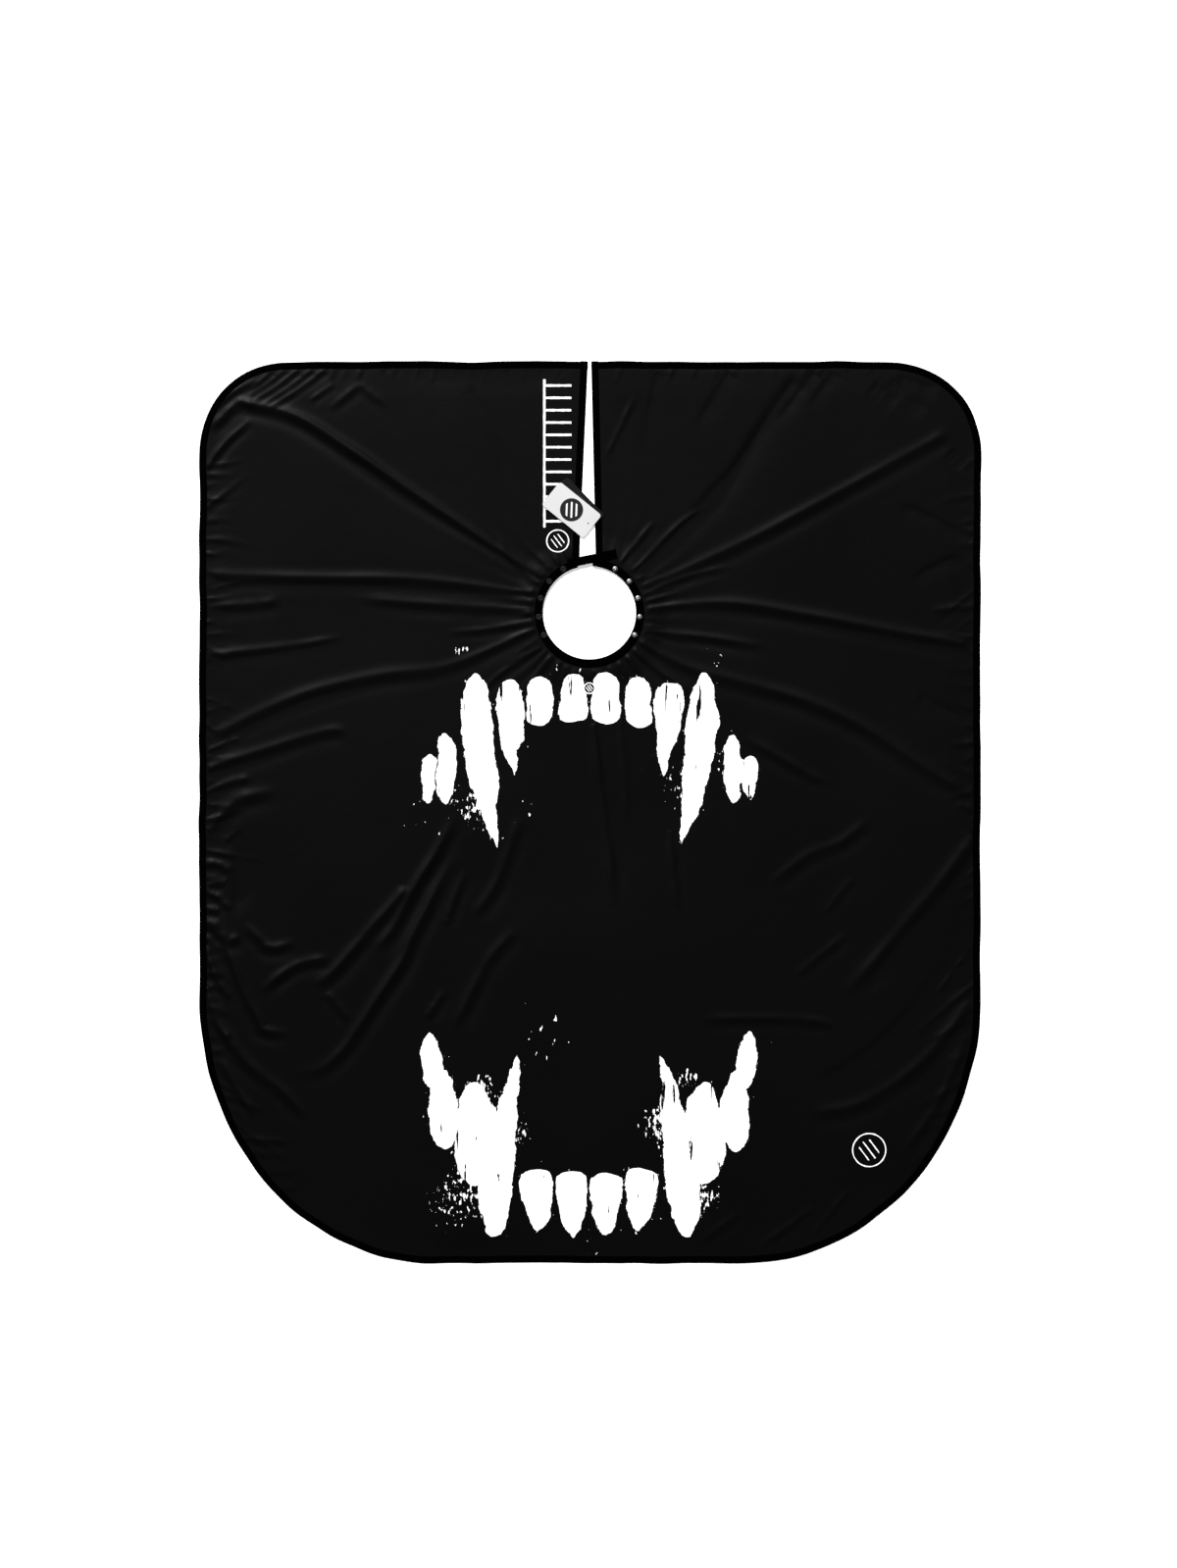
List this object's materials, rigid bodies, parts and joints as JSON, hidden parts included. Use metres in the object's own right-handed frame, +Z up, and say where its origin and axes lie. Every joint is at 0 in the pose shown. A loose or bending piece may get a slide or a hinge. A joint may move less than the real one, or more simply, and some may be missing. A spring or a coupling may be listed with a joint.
{
  "type": "barber cape",
  "caption": "Barber cape spread flat: bound square-shouldered sheet with a round neck opening, a back slit, a snap neckband with a lapped tab, and hang tags.",
  "frame": {"origin": "on the surface that the cape lies on, under the middle of its outline", "axes": "+X to the right of the face, +Y from the hem to the slit edge at the wearer's back, +Z up off the surface, out of the face"},
  "size_m": [1.3, 1.5, 0.0074],
  "materials": {
    "cape_cloth": "thin black polyester with a satin face and a white print",
    "binding_tape": "matte black bias tape, stitched",
    "neckband_cloth": "matte black folded cloth, stitched",
    "stiffener": "white non-woven stiffener",
    "black_snap": "black painted snap cap",
    "bright_snap": "nickel-plated brass",
    "white_card": "smooth white coated card",
    "black_card": "smooth dark coated card"
  },
  "bodies": {
    "cape": {"centre_panel": "cape_cloth", "top_binding_left": "binding_tape", "top_binding_right": "binding_tape", "bottom_binding": "binding_tape", "left_slit_binding": "binding_tape", "right_slit_binding": "binding_tape", "neckband_facing": "neckband_cloth", "neckband_lining": "neckband_cloth", "closure_tab_root": "neckband_cloth", "neckband_interlining": "stiffener", "left_snap_cap_1": "black_snap", "left_snap_cap_2": "black_snap", "left_snap_cap_3": "black_snap", "left_snap_cap_4": "black_snap", "left_snap_cap_5": "black_snap", "right_snap_backing_1": "black_snap", "right_snap_backing_2": "black_snap", "right_snap_backing_3": "black_snap", "right_snap_backing_4": "black_snap", "right_snap_backing_5": "black_snap", "right_snap_stud_1": "bright_snap", "right_snap_stud_2": "bright_snap", "right_snap_stud_3": "bright_snap", "right_snap_stud_4": "bright_snap", "right_snap_stud_5": "bright_snap", "left_snap_socket_1": "bright_snap", "left_snap_socket_2": "bright_snap", "left_snap_socket_3": "bright_snap", "left_snap_socket_4": "bright_snap", "left_snap_socket_5": "bright_snap"},
    "left_wing": {"left_wing_panel": "cape_cloth", "left_wing_binding": "binding_tape"},
    "right_wing": {"right_wing_panel": "cape_cloth", "right_wing_binding": "binding_tape"},
    "closure_tab": {"closure_tab": "neckband_cloth"},
    "tag_front": {"tag_card_front": "white_card"},
    "tag_back": {"tag_card_back": "black_card"}
  },
  "joints": [
    {"name": "left_wing_fold", "type": "hinge", "parent": "cape", "child": "left_wing", "pos_m": [-0.325, 0, 0.0026], "axis": [0, 1, 0], "range_deg": [0, 160]},
    {"name": "right_wing_fold", "type": "hinge", "parent": "cape", "child": "right_wing", "pos_m": [0.325, 0, 0.0026], "axis": [0, -1, 0], "range_deg": [0, 160]},
    {"name": "closure_tab_lift", "type": "hinge", "parent": "cape", "child": "closure_tab", "pos_m": [-0.02535, 0.41526, 0.00645], "axis": [0.2147, -0.9767, 0], "range_deg": [0, 150]},
    {"name": "tag_front_swing", "type": "hinge", "parent": "cape", "child": "tag_front", "pos_m": [-0.003, 0.4805, 0.0041], "axis": [0, 0, 1], "range_deg": [-90, 45]},
    {"name": "tag_back_swing", "type": "hinge", "parent": "cape", "child": "tag_back", "pos_m": [-0.003, 0.4805, 0.0034], "axis": [0, 0, 1], "range_deg": [-90, 45]}
  ]
}
